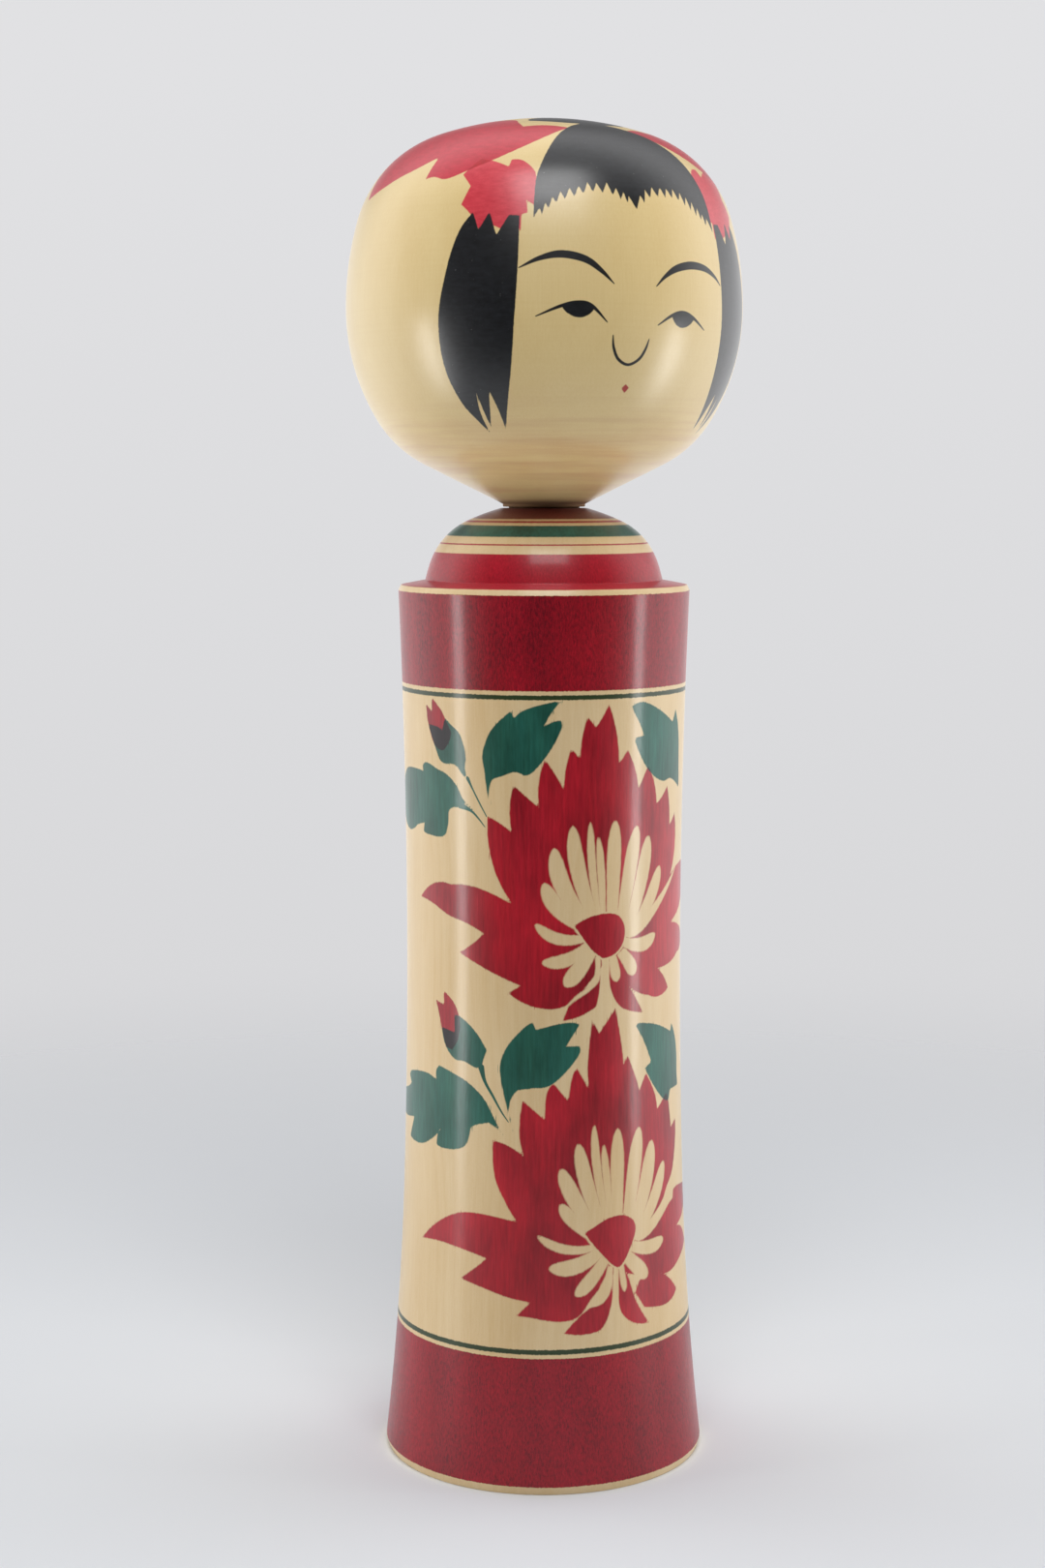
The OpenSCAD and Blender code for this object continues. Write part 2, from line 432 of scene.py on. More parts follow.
LOWER_FLOWER = [
    (-46.5, 53.2), (-41, 58), (-34.8, 61.4), (-29, 62.1), (-20.3, 61), (-22.8, 64.9), (-25.5, 70.9),
    (-26, 79), (-22.2, 77.9), (-18.9, 75.8), (-19.9, 81), (-19.2, 88.3), (-14.2, 84), (-13.8, 89.9),
    (-12.4, 92.3), (-9, 88.1), (-8, 93.7), (-7, 95.4), (-4.2, 90.4), (-4.5, 95.6), (-3.4, 106),
    (-1.7, 102.8), (2.4, 108.1), (4, 100), (4.6, 95.2), (5.7, 97.1), (8.1, 91.8), (9.1, 88.6), (11.3, 92.4),
    (14.4, 87.3), (15.4, 83.4), (19.5, 86.4), (20.6, 84), (21.7, 77.9), (24.7, 79.3), (24.6, 75.3),
    (22.3, 68.4), (19, 64.9), (20.1, 62.4), (25, 63.6), (38, 61, 0.8), (31, 56.5), (23.9, 54.5),
    (27.7, 53.2), (32, 49), (25.8, 46.9), (18.9, 45.1), (13.8, 45.9), (6, 47.5), (2.4, 49.4), (-3.5, 44),
    (-7, 39.6), (-10.2, 38.7), (-13.3, 38.9), (-17.1, 39.6), (-20.3, 39.9), (-17.3, 43), (-22.2, 43.9),
    (-27.2, 45.3), (-33.5, 46.8), (-29.2, 50.3), (-27.2, 52.2), (-32.3, 53.3), (-38.6, 54), (-43.7, 53.7)]
LOWER_SMALL_PETALS = [
    [(8.1, 45.6), (11, 46.6), (17, 44.9), (22.2, 40.3), (19.5, 38.7), (15.7, 38.2), (9.4, 39.3),
     (6.9, 43.1)],
    [(2.5, 45), (2.7, 49.4), (3.9, 49.6), (5.4, 46.2), (6.9, 41.5), (10.5, 35.6), (8.1, 35.8), (5.6, 36.8),
     (3.7, 38.4), (2.6, 40.6)],
    [(-10.2, 36), (-7.7, 38.7), (-4.5, 41.3), (-2.3, 41.8), (0.2, 44.4), (1.2, 49.4), (1, 44), (0.3, 40.4),
     (-1, 37.4), (-2.3, 36.1), (-5.8, 35.5)]]
LOWER_HEART = [
    (-5.4, 58.3), (-3.3, 59.4), (-1.2, 60.5), (1, 61.2), (3.7, 61.3), (5.8, 60.5), (7.1, 59.3), (7.5, 57.8),
    (7.2, 56.2), (6.2, 54.2), (5, 52), (3.6, 50.2), (2.5, 49.5), (0.8, 50.7), (-0.8, 52.4), (-2.5, 54.4),
    (-4.2, 56.5)]
LOWER_BARE_EVEN = [
    (-2.3, 53.5, -13.3, 50.5, 1.8, 1.1), (-4.6, 58.1, -10.9, 65, 1.5, 0.4),
    (-1.5, 60, -6.75, 78.5, 1.7, 0.65), (0.9, 60.6, -0.8, 77.8, 0.95), (5.4, 60, 9, 80.5, 1.95),
    (9.1, 57.6, 17.7, 71.1, 1.8, -0.8), (6.6, 53.7, 16.8, 53.3, 1.65, -0.9), (3.3, 50, 4.1, 43.9, 0.8)]
LOWER_BARE_ODD = [
    (-1.1, 51.4, -7.5, 44.2, 1.6, 0.3), (-3.5, 54.8, -15.9, 58, 1.05, 1.5),
    (-3.3, 59.3, -10.75, 73, 1.8, 0.6), (0, 60.4, -3, 82.4, 1.05, 0.7), (2.5, 60.8, 2.9, 81, 1.75),
    (7.3, 58.9, 13.1, 76.8, 2.1, -0.8), (4.9, 51.8, 10.6, 45.9, 1.8)]
LOWER_COMMA = [
    (1.2, 50), (1, 47), (0.2, 44), (-1.4, 42.1), (-3.4, 41.6), (-3, 43.6), (-1.9, 46), (-0.6, 48.4),
    (0, 50.6)]
LOWER_GAPS = [
    [(1.3, 50), (1.35, 45.5), (0.9, 41.6), (-0.2, 37.6), (1.6, 34.6), (3.1, 37.4), (2.4, 41.6), (2.3, 45.4),
     (2.6, 50)],
    [(7.2, 57), (9, 57.3), (10.8, 58.3), (13.3, 59.6), (15.4, 61), (17.3, 62.6), (19.4, 65.2), (23, 66.4),
     (22, 61.4), (19.6, 60.6), (17.5, 59.2), (15.4, 57.7), (13.3, 56.3), (10.8, 55.1), (8.4, 54.6),
     (6.6, 55.4)]]

LEAVES = [
    # upper left pair
    [(-28.8, 150.3), (-31, 152), (-33, 153.3), (-35, 152.5), (-36.5, 152.3), (-37.6, 151.5), (-37.8, 149),
     (-38.5, 146.5), (-40, 145.5), (-45, 145.6), (-46.9, 146), (-46, 149), (-44.8, 150.4), (-46.8, 161),
     (-45, 161.7), (-41, 160.5), (-38.5, 159.8), (-36.5, 158.5), (-35, 157), (-33.5, 154.5), (-31, 152.3)],
    [(-43.4, 150.4), (-45, 148.2), (-49.5, 147.3), (-52, 146.1), (-55, 145.6), (-60, 147), (-68, 152),
     (-63, 155.5), (-60, 157.5), (-56, 159.5), (-50, 159.9), (-45.4, 159.4)],
    # upper middle and right
    [(-26.9, 153.9), (-27.4, 156.9), (-28, 161.3), (-28.4, 164.4), (-26.9, 168.8), (-25, 171.3),
     (-21.6, 174.3), (-21.1, 172.6), (-18.8, 174.4), (-12.5, 176.2), (-10.9, 176.2), (-12.5, 174.4),
     (-14.5, 170.9), (-12.5, 171.9), (-10.8, 172.2), (-10.6, 170.6), (-13.1, 165.6), (-16.9, 160.9),
     (-18.8, 160.1), (-20.9, 160.9), (-23.8, 159.9), (-25.9, 159.1), (-26.6, 157.8)],
    [(6, 174.7), (7.6, 175.4), (9.8, 175.5), (15.4, 173.3), (21, 170.3), (22.6, 173.1), (25.1, 167.5),
     (26, 159.4), (26.3, 155), (22.9, 156.9), (20.1, 157.8), (17.3, 157.4), (13.5, 158.8), (10.1, 161.9),
     (7.3, 166.6), (7.3, 167.8), (9.8, 168.1), (8.5, 170.6), (6.9, 173.1)],
    # lower left, one spray of three lobes
    [(-22.8, 78.8), (-24, 80.8), (-27, 82.8), (-30, 82), (-31.5, 81.3), (-32.5, 77.5), (-34.5, 76),
     (-39.5, 75.3), (-41.6, 75.8), (-41.3, 78.3), (-40.3, 79.5), (-43, 77), (-47.5, 74.8), (-52.5, 74.6),
     (-54.5, 75), (-52, 80), (-61, 78.8), (-72, 80), (-64.8, 83.8), (-57, 86), (-54.3, 87.3), (-56, 89),
     (-54, 90.3), (-46, 91.4), (-42, 90.5), (-42.1, 92.5), (-41, 93.9), (-36.5, 92.8), (-32, 91.1),
     (-28, 87.8), (-25.5, 83.5)],
    # lower middle and right
    [(-21.2, 80.9), (-22.3, 84.8), (-23.6, 89.9), (-24.4, 95.6), (-22.8, 100), (-19, 104.4), (-17, 105.8),
     (-16.2, 104.1), (-9.5, 105.6), (-6.3, 105.2), (-7.6, 103.2), (-9.5, 100.3), (-6.4, 100.3),
     (-6.3, 98.7), (-9.5, 94.6), (-13.3, 91.5), (-17.1, 91), (-20.3, 90.5), (-21.6, 88.9), (-22.2, 86.7)],
    [(8, 103.7), (9.7, 103.9), (15.1, 102.8), (22, 100), (22.7, 101.9), (25.5, 97.5), (26.5, 93.7),
     (26.5, 89.9), (27.1, 86.7), (21.4, 86.7), (20.6, 84.3), (18.2, 85.1), (14.4, 88.6), (11, 93.4),
     (13.2, 94.6), (12.2, 96.8), (10.7, 99.7)]]

# The red of each bud runs down under its green cup
BUD_REDS = [
    [(-44.8, 174.8), (-42.5, 173.1), (-42.6, 176.3), (-39.5, 173.8), (-38.3, 172), (-36.5, 169), (-37, 167),
     (-38.8, 164.9), (-40, 164.8), (-42, 166), (-44, 170.3), (-44.5, 172.8)],
    [(-42.4, 108.7), (-39.5, 107.8), (-39.6, 111.1), (-36.5, 108.8), (-35, 106.3), (-34.6, 104),
     (-35.2, 100.5), (-37, 98), (-38.8, 98.5), (-40.3, 102.8), (-41.3, 106)]]
BUD_CUPS = [
    [(-44, 170.3), (-42, 166), (-41, 164), (-40, 162.5), (-38.5, 161.9), (-36.5, 162), (-35, 161.5),
     (-33.5, 159.8), (-32, 158.8), (-32.8, 161), (-32.6, 164), (-34, 168.5), (-37, 171), (-38.3, 172),
     (-39.3, 169), (-40.3, 169.8)],
    [(-40.3, 102.8), (-38.8, 98.5), (-36, 96), (-33.5, 95.9), (-30.3, 94.8), (-28.8, 95.3), (-27.6, 99),
     (-30.5, 103), (-34.5, 105.8), (-36.3, 106), (-36.1, 102)]]
STEMS = [
    [(-32.2, 159.2, 0.45), (-31, 157, 0.22), (-29.3, 154, 0.18), (-27.4, 150.8, 0.12)],
    [(-29, 95.3, 0.8), (-28, 92, 0.4), (-26, 88.8, 0.3), (-24, 85.5, 0.2), (-22.3, 83.2, 0.1)]]
# The stalk of the upper left leaf, in fields of its own because a stem runs close to it
TAILS = [[(-34.5, 153.1, 0.8), (-31.4, 152, 0.32), (-29.5, 150.4, 0.2), (-27.9, 148.6, 0.1)]]


def body_paint(spots):
    """The paint fields on the body's panel."""
    reds = [UPPER_FLOWER, LOWER_FLOWER] + UPPER_SMALL_PETALS + LOWER_SMALL_PETALS
    bare_even = [petal(*p) for p in UPPER_BARE_EVEN + LOWER_BARE_EVEN] + [UPPER_COMMA, LOWER_COMMA]
    bare_odd = [petal(*p) for p in UPPER_BARE_ODD + LOWER_BARE_ODD] + UPPER_GAPS + LOWER_GAPS
    shapes = {
        "flower": reds,
        "heart": [UPPER_HEART, LOWER_HEART],
        "bare_even": bare_even,
        "bare_odd": bare_odd,
        "bud": BUD_REDS,
        "leaf": LEAVES + BUD_CUPS}
    fields = {name: painted(spots, outlines) for name, outlines in shapes.items()}
    return fields | drawn_lines(spots, STEMS) | drawn_lines(spots, TAILS, "tail")


# ---- paint on the head

def over(points):
    """Places (u, v) on the head as places (x, y) on a map of the crown seen from above."""
    return [(p[1] * sin(p[0] / HEAD_GIRTH), -p[1] * cos(p[0] / HEAD_GIRTH)) for p in points]


def teeth(peaks, depth, rise=0.5):
    """A ragged lower edge: between neighbouring peaks the hair hangs down in a point by depth."""
    result = []
    for (u0, v0), (u1, v1) in zip(peaks[:-1], peaks[1:]):
        result += [(u0, v0), (u0 + (u1 - u0) * rise, (v0 + v1) / 2 + depth)]
    return result + [peaks[-1]]


# Bare peaks between the points of the fringe, from the doll's left to its right
FRINGE_LEFT = [
    (22.6, 52.4), (21.1, 51.3), (19.6, 50.2), (18, 49.2), (16.3, 48.2), (14.6, 47.2), (12.6, 46.5),
    (10.6, 46.4), (8.6, 46.3), (6.2, 46.5), (4.2, 47.2), (2.6, 48.6)]
FRINGE_RIGHT = [
    (-0.4, 48.9), (-1.6, 48), (-3.3, 47.2), (-5.4, 46), (-7.9, 46.2), (-10, 46), (-12.2, 47), (-14.3, 47.4),
    (-16.4, 48.2), (-18.2, 49.3), (-19.8, 50.6), (-21, 51.9)]
FRINGE = over(
    [(-22.3, 54.2), (-22.2, 50), (-21.8, 45), (-20.7, 41.4), (-19.3, 37.9), (-17.1, 33.6),
     (-14.6, 30), (-11.5, 27), (-8, 24.6), (2, 21), (12, 26.5), (17.5, 30.5), (20.6, 34.3), (22.6, 38.5),
     (23.6, 43), (24.2, 48), (24.4, 55.6)]
    + teeth(FRINGE_LEFT, 2.5) + [(1.1, 52.0)] + teeth(FRINGE_RIGHT, 2.4))

# Hair tied behind the crown
KNOT = [
    (-9, -19), (-4, -22.5), (3, -23), (9, -20.5), (11, -17), (9, -13.5), (5, -11), (6.5, -3), (9, 5),
    (7, 13), (0, 17), (-7, 13), (-9, 5), (-6.5, -3), (-6, -10.5), (-10, -13), (-11.5, -16)]

LOCK = [
    (-25.3, 53.6), (-25.5, 65), (-26.2, 75), (-27.2, 85), (-28.7, 93.3), (-30, 99.5), (-31, 95),
    (-32.8, 90), (-33.3, 95), (-33.9, 98.8), (-34.9, 95), (-36, 90.6), (-35.8, 95.5), (-34.4, 100.5),
    (-36.7, 97.6), (-40, 93.3), (-42.5, 86.7), (-43.3, 80), (-43, 73.3), (-41.7, 66.7), (-40, 60),
    (-38.3, 55.8), (-35.8, 52.6), (-34.2, 56.4), (-32, 52.6), (-30.2, 57.6), (-27.6, 53.4)]

# Red ribbons that sweep from the crown: a long one to the back and a ragged one above the lock
LONG_RIBBON = [
    (-7, -26.5), (-10, -27.8), (-15, -29.5), (-21, -30.2), (-27, -29.5), (-31, -28), (-35, -26),
    (-38, -23.5), (-39, -20), (-40.5, -18), (-34.6, -16.3), (-39, -12.5), (-42, -8), (-44.5, -3), (-46, 2),
    (-46.8, 6.5), (-40, 8.5), (-31, 7), (-22, 2), (-15, -6), (-13, -12), (-14.5, -17), (-15.6, -21.5),
    (-12, -22.6), (-9, -24.6)]
RAGGED_RIBBON = [
    (-34.5, -27), (-35, -31), (-39.3, -32.3), (-39, -37), (-39.5, -40), (-38.2, -42.6), (-36.6, -41.4),
    (-34.6, -44.6), (-32.6, -43.6), (-30.6, -48), (-28.6, -45), (-27, -45.6), (-26, -43), (-24.4, -45.6),
    (-22.6, -44.6), (-21.5, -40), (-21, -38), (-22, -34), (-24, -32.2), (-25.5, -33.6), (-27, -30.5),
    (-29, -27)]
# Shorter ribbons down the back of the head, guessed after the same pattern
BACK_RIBBONS = [
    [(-12, 15), (-20, 17), (-29, 22), (-37, 29), (-41, 36), (-35, 36.5), (-37, 43), (-30, 40), (-22, 33),
     (-14, 25), (-9, 19)],
    [(-5, 20), (-8, 27), (-13, 36), (-18, 46), (-16, 52), (-11, 49.5), (-8, 54), (-4, 45), (-2.5, 34),
     (-2, 24)]]

BROW = [
    (-25.4, 64.6, 0.1), (-21, 62.6, 0.5), (-16.4, 61.7, 0.8), (-11.4, 62.7, 0.75), (-8, 65, 0.5),
    (-5.2, 67.7, 0.1)]
BROW_LEFT = [
    (4.6, 68, 0.1), (7, 65.8, 0.4), (10.2, 64, 0.75), (14.6, 63.1, 0.85), (19.2, 63.5, 0.7),
    (22.8, 65, 0.4), (25.2, 66.8, 0.1)]
LID = [(-21.8, 74.5, 0.12), (-16.6, 72.4, 0.35), (-12.9, 71.6, 0.4), (-10, 72.3, 0.4), (-6.6, 75.6, 0.12)]
LID_LEFT = [(5.2, 76, 0.12), (8.9, 73.8, 0.35), (12, 73.1, 0.4), (15.2, 74.1, 0.35), (19.2, 76.5, 0.12)]
NOSE = [
    (-5.2, 78.2, 0.12), (-4.9, 80.7, 0.3), (-3.6, 83.2, 0.33), (-1.1, 84.4, 0.3), (1.4, 83.2, 0.33),
    (2.7, 81.1, 0.3), (3.4, 78.8, 0.12)]
PUPILS = [
    [(-16.6, 72.1), (-15.2, 73.8), (-12.9, 74.7), (-10.8, 74.2), (-9.4, 72.8), (-12.9, 71.6)],
    [(8.8, 73.9), (10.2, 75.7), (12, 76.3), (14, 75.7), (15.6, 74.2), (12.2, 73.1)]]
MOUTH = [(-1.8, 89.6), (-0.9, 88.6), (0.1, 89.4), (-0.8, 90.6)]
# No line is drawn farther round the head than the first, or nearer to the crown than the second
FACE_SIDE, FACE_TOP = 60, 30


def head_paint(face, crown):
    """The paint fields on the head. face holds places (u, v), crown the same places seen from above."""
    lines = drawn_lines(face, [BROW, BROW_LEFT, LID, LID_LEFT, NOSE])
    lines["line_half"][(np.abs(face[:, 0]) > FACE_SIDE) | (face[:, 1] < FACE_TOP)] = -FIELD_DEPTH
    ink = painted(face, [LOCK, mirrored(LOCK)] + PUPILS)
    back = BACK_RIBBONS + [mirrored(p) for p in BACK_RIBBONS]
    return lines | {
        "ink": np.maximum(ink, painted(crown, [FRINGE, KNOT])),
        "ribbon": painted(crown, [LONG_RIBBON, mirrored(LONG_RIBBON)] + back),
        "ragged": painted(crown, [RAGGED_RIBBON, mirrored(RAGGED_RIBBON)]),
        "mouth": painted(face, [MOUTH])}


# ---- meshes

def build_mesh(name, verts, faces, fields):
    """A smooth-shaded mesh object with one float attribute for each paint field."""
    mesh = bpy.data.meshes.new(name)
    mesh.from_pydata((np.array(verts) * MM).tolist(), [], faces)
    for field, values in fields.items():
        attribute = mesh.attributes.new(field, "FLOAT", "POINT")
        attribute.data.foreach_set("value", np.asarray(values, np.float32))
    mesh.shade_smooth()
    mesh.update()
    obj = bpy.data.objects.new(name, mesh)
    SCENE.collection.objects.link(obj)
    return obj


# How far the fine columns of each piece's mesh reach to either side of its front along the
# girth, and the spacing of the columns there and elsewhere
BODY_COLUMNS = (75, 0.58, 2.0)
HEAD_COLUMNS = (46, 0.42, 1.2)
# Wanted width of the faces on the panel, on the rest of the body, and at the lip, which is
# kept round enough to clear the neck
PANEL_FACE, BODY_FACE, LIP_FACE = 1.22, 2.4, 0.5
# Wanted width of the faces on the head, and on its neck inside the shoulder
HEAD_FACE, NECK_FACE = 0.9, 2.4
# Greatest spacing of the rows on the plain stretches of each piece
BODY_ROW, HEAD_ROW = 1.2, 0.9
# Distances down the head between which no row is dropped, and at which the neck starts
HAIR_TOP, CHIN_END, NECK_START = 18, 104, 108
# Rows closer than this belong to an edge
EDGE_ROW = 0.45


def make_body():
    """The body, its mesh fine on the painted panel and coarser elsewhere."""
    outline = soften(body_outline(spacing=0.5))
    angles = column_angles(BODY_GIRTH, *BODY_COLUMNS)
    height = outline[:, 1]
    on_panel = (height > PANEL[0] - 1) & (height < PANEL[1] + 1)
    wanted = np.where(on_panel, PANEL_FACE, BODY_FACE)
    wanted[(outline[:, 0] < SEAT_R) & (height > SEAT_H - LIP_DEPTH - 2)] = LIP_FACE
    keep = thin_rows(outline, ~on_panel, BODY_ROW)
    outline, wanted = outline[keep], wanted[keep]
    verts, faces = revolve(outline, angles, row_steps(outline, wanted, len(angles)))
    x, y, z = np.array(verts).T
    spots = np.column_stack([np.arctan2(x, -y) * BODY_GIRTH, z])
    fields = body_paint(spots)
    radius = np.hypot(x, y)
    fields["skin"] = (radius > STUB_R + 0.5).astype(float)
    return build_mesh("body_wood", verts, faces, fields)


def thin_rows(outline, coarse, spacing):
    """Which rows to keep, dropping some on the coarse stretches but none at an edge."""
    keep = [0]
    for i in range(1, len(outline) - 1):
        step = dist(outline[i], outline[i + 1])
        last = dist(outline[keep[-1]], outline[i])
        at_edge = step < EDGE_ROW or dist(outline[i - 1], outline[i]) < EDGE_ROW
        if not coarse[i] or at_edge or last + step > spacing:
            keep.append(i)
    return keep + [len(outline) - 1]


def make_head():
    """The head, its mesh fine on the face and hair."""
    outline = soften(head_outline(spacing=0.42))
    angles = column_angles(HEAD_GIRTH, *HEAD_COLUMNS)
    down = np.concatenate([[0], np.cumsum(np.hypot(*np.diff(outline, axis=0).T))])
    coarse = (down > CHIN_END) | (down < HAIR_TOP)
    wanted = np.where(down > NECK_START, NECK_FACE, HEAD_FACE)
    keep = thin_rows(outline, coarse, HEAD_ROW)
    outline, down, wanted = outline[keep], down[keep], wanted[keep]
    steps = row_steps(outline, wanted, len(angles))
    verts, faces = revolve(outline[::-1], angles, steps[::-1])
    x, y, z = np.array(verts).T
    angle = np.arctan2(x, -y)
    radius = np.hypot(x, y)
    row = np.argmin((outline[:, 0][None] - radius[:, None]) ** 2 + (outline[:, 1][None] - z[:, None]) ** 2, 1)
    v = down[row]
    face = np.column_stack([angle * HEAD_GIRTH, v])
    crown = np.column_stack([v * np.sin(angle), -v * np.cos(angle)])
    return build_mesh("head_wood", verts, faces, head_paint(face, crown))


# ---- materials

class Nodes:
    """Short names for building the node tree of a material or a world."""

    def __init__(self, owner):
        owner.use_nodes = True
        self.owner = owner
        self.tree = owner.node_tree
        self.shader = self.tree.nodes.get("Principled BSDF")

    def set(self, socket, value):
        """Links another socket's output to this input, or sets the input's own value."""
        if isinstance(value, bpy.types.NodeSocket):
            self.tree.links.new(value, socket)
        else:
            socket.default_value = value

    def new(self, kind, inputs=None, **settings):
        """A new node. Its inputs are given by name or by number."""
        node = self.tree.nodes.new(kind)
        for key, value in settings.items():
            setattr(node, key, value)
        self.fill(node, inputs or {})
        return node

    def fill(self, node, inputs):
        for key, value in inputs.items():
            self.set(node.inputs[key], value)

    def math(self, operation, *values, clamp=False):
        entries = dict(enumerate(values))
        return self.new("ShaderNodeMath", entries, operation=operation, use_clamp=clamp).outputs[0]

    def times(self, first, second):
        return self.math("MULTIPLY", first, second)

    def vector_math(self, operation, *values):
        return self.new("ShaderNodeVectorMath", dict(enumerate(values)), operation=operation).outputs

    def weighed(self, *parts):
        """The sum of several values, each times its weight."""
        total = 0.0
        for value, weight in parts:
            total = self.math("MULTIPLY_ADD", value, weight, total)
        return total

    def length(self, vector):
        return self.vector_math("LENGTH", vector)["Value"]

    def scaled(self, vector, factors, shift=(0, 0, 0)):
        return self.vector_math("MULTIPLY_ADD", vector, factors, shift)["Vector"]

    def spread(self, value, low, high, to_low=0, to_high=1, kind="LINEAR"):
        """Maps low..high to to_low..to_high, clamped."""
        entries = {"Value": value, "From Min": low, "From Max": high, "To Min": to_low, "To Max": to_high}
        return self.new("ShaderNodeMapRange", entries, interpolation_type=kind).outputs["Result"]

    def step(self, value, low, high):
        """0 at low and 1 at high, smooth between. Low may be the greater number."""
        return self.spread(value, low, high, kind="SMOOTHSTEP")

    def mix(self, factor, first, second, blend="MIX"):
        entries = {"Factor": factor, 6: first, 7: second}
        return self.new("ShaderNodeMix", entries, data_type="RGBA", blend_type=blend).outputs[2]

    def noise(self, spot, scale=1.0, detail=2.0, rough=0.5, shape="3D"):
        """Noise at a place, or with the shape 1D at a number."""
        entries = {"W" if shape == "1D" else "Vector": spot, "Scale": scale, "Detail": detail,
                   "Roughness": rough}
        return self.new("ShaderNodeTexNoise", entries, noise_dimensions=shape).outputs["Fac"]

    def pattern(self, place, cells, detail, rough, shift=(0, 0, 0)):
        return self.noise(self.scaled(place, cells, shift), 1.0, detail, rough)

    def stray(self, noise, reach):
        """The noise as a distance, up to half of reach to either side of nothing."""
        return self.math("MULTIPLY_ADD", noise, reach, -reach / 2)

    def field(self, name):
        return self.new("ShaderNodeAttribute", attribute_name=name).outputs["Fac"]

    def place(self):
        """The place on the piece in millimetres, and its height."""
        coords = self.new("ShaderNodeTexCoord").outputs["Object"]
        place = self.scaled(coords, (1 / MM,) * 3)
        return place, self.height(place)

    def height(self, vector):
        return self.new("ShaderNodeSeparateXYZ", {0: vector}).outputs["Z"]


def rgb(red, green, blue):
    """A colour given as it looks on a screen, 0 to 255, turned into light."""
    values = [c / 255 for c in (red, green, blue)]
    return [c / 12.92 if c <= 0.04045 else ((c + 0.055) / 1.055) ** 2.4 for c in values] + [1.0]


# Pale and deep colours of each piece's wood, and colours of the head's chin streaks and neck stain, both
# partly painted shade
BODY_WOOD = rgb(237, 212, 168), rgb(222, 189, 136)
HEAD_WOOD = rgb(238, 214, 158), rgb(225, 195, 132)
# Chin streaks: horizontal streaks, darkened toward the neck as painted shade and tinted with a painted
# reflection of the red shoulder
HEAD_STREAK_AND_SHADE = rgb(206, 158, 112)
# Neck stain: rubbed wood, darkened further as painted shade where the neck meets the shoulder
NECK_STAIN_AND_SHADE = rgb(104, 58, 40)
# Dyes, where they took little and where they took much. Each is the share of light that it
# leaves of what bare wood would send back. The ink covers the wood instead.
RED = (0.72, 0.02, 0.085, 1), (0.28, 0.005, 0.03, 1)
BAND_RED = (0.57, 0.012, 0.062, 1), (0.15, 0.004, 0.027, 1)
DOME_RED = (0.68, 0.018, 0.085, 1), (0.38, 0.008, 0.05, 1)
# Red darkened into painted shade, for the ring in under the head
TOP_RED_SHADE = (0.22, 0.02, 0.018, 1)
GREEN = (0.032, 0.265, 0.345, 1), (0.009, 0.105, 0.13, 1)
LINE_GREEN = (0.035, 0.085, 0.05, 1)
LONG_RED = (0.78, 0.036, 0.17, 1), (0.62, 0.02, 0.1, 1)
RAGGED_RED = (0.9, 0.1, 0.3, 1), (0.76, 0.055, 0.19, 1)
MOUTH_RED = (0.5, 0.04, 0.05, 1)
INK = (0.007, 0.007, 0.008, 1), (0.016, 0.017, 0.020, 1)
SPECK_GREY = (0.2, 0.2, 0.2, 1)
WHITE = (1, 1, 1, 1)
BLACK = (0, 0, 0, 1)

# Noise patterns: cells per millimetre along X, Y and Z, detail, roughness and shift.
# The grain runs along Z.
DRIFT = ((0.02, 0.02, 0.008), 2, 0.5)
FIBRES = ((3.2, 3.2, 0.11), 3, 0.6)
CLOUDS = ((0.06, 0.06, 0.022), 3, 0.5)
SHIVER = ((2.4, 2.4, 0.5), 3, 0.6)
CREEP = ((3.6, 3.6, 0.1), 2, 0.5, (40, 7, 3))
STREAKS = ((1.6, 1.6, 0.13), 4, 0.65, (5, 1, 9))
PATCHES = ((0.1, 0.1, 0.05), 3, 0.5, (3, 3, 3))
FLECKS = ((3.0, 3.0, 1.0), 4, 0.7, (11, 5, 2))
CHIN_STREAKS = ((0.03, 0.03, 0.7), 3, 0.55, (7, 2, 5))
BRUSHING = ((0.5, 0.5, 1.5), 4, 0.6, (1, 4, 8))
# How far painted edges stray in all, on the body's flowers and bands, on its fine rings and on
# the head
EDGE_STRAY, FINE_STRAY, HEAD_STRAY = 0.36, 0.12, 0.24
# How far they blur to either side
EDGE_BLUR, PETAL_BLUR, BARE_BLUR, RING_BLUR, INK_BLUR, LINE_BLUR = 0.16, 0.2, 0.24, 0.12, 0.12, 0.1
# Dye creeps along a fibre where the noise passes the first, by the second for each 1 past it
CREEP_START, CREEP_REACH = 0.67, 8.0
# Millimetres by which the growth rings stray from true circles
RING_DRIFT = 26
# What rings, fibres, clouds and spots add to the depth of the wood's colour, and how far to
# either side of their middle the colour goes on changing
BODY_RINGS, HEAD_RINGS, FIBRE_SHARE, CLOUD_SHARE, SPOT_SHARE = 0.3, 0.12, 0.35, 0.8, 0.2
WOOD_SPREAD = 0.3
# Stretches of noise over which the dye of flowers and bands, the ink, the turning marks, the
# streaks and the specks go from none to all
DYE_RANGE, BAND_RANGE, BRUSH_RANGE = (0.44, 0.86), (0.42, 0.8), (0.3, 0.7)
TURNING_RANGE, STREAK_RANGE, SPECK_RANGE = (0.35, 0.75), (0.42, 0.68), (0.76, 0.80)
# Greatest shares of deep colour in the turning marks, in the chin streaks and the neck stain, which both
# carry painted shade, and of grey in specks
TURNING_SHARE, STREAK_AND_SHADE_SHARE, STAIN_AND_SHADE_SHARE, SPECK_SHARE = 0.16, 0.5, 0.8, 0.4
# Where the middle of the tree lay from the axis of each piece, X and Y
BODY_PITH = (-52, 18)
HEAD_PITH = (34, 46)
